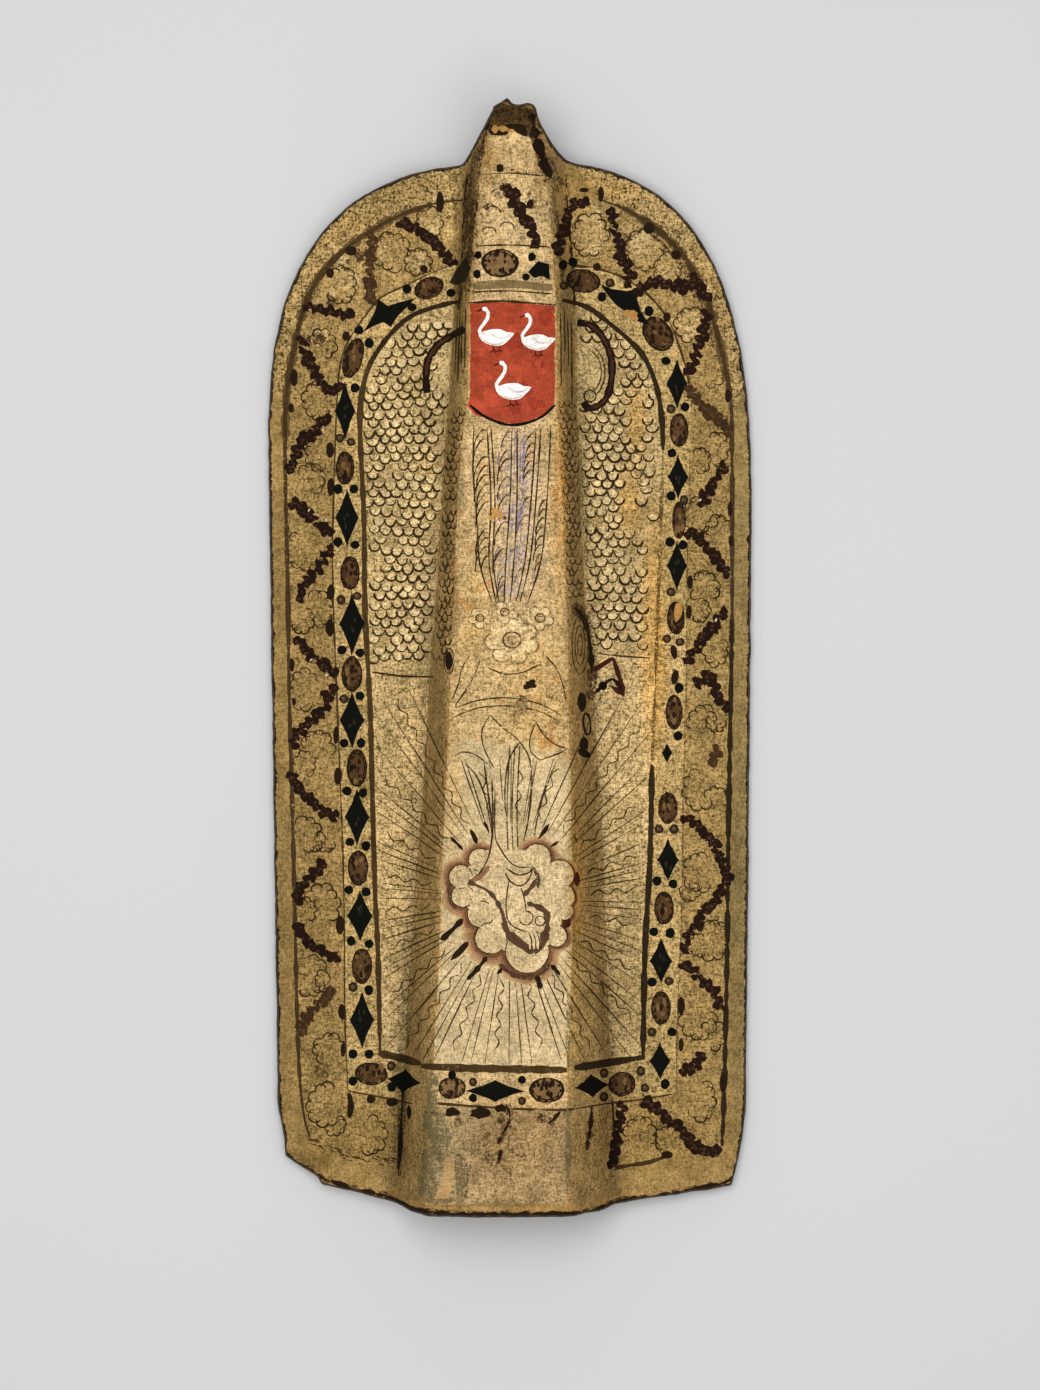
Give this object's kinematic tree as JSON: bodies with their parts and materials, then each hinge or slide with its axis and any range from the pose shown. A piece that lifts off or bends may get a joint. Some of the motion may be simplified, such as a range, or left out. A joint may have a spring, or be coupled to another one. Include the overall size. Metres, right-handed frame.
{
  "type": "pavise",
  "caption": "Tall round-arched standing shield with a hollow central ridge and a short open beak, painted canvas over board, lying face up.",
  "frame": {"origin": "middle of the footprint, on the plane that the flat back of the long rims rests on", "axes": "+X across the shield to its right seen from the front, +Y along the ridge towards the beak, +Z out of the painted face"},
  "size_m": [0.502, 1.14, 0.1115],
  "materials": {
    "painted_board": "matt painted gesso on canvas over wood, worn and crazed"
  },
  "bodies": {
    "root": {"shield_body": "painted_board"}
  },
  "joints": []
}
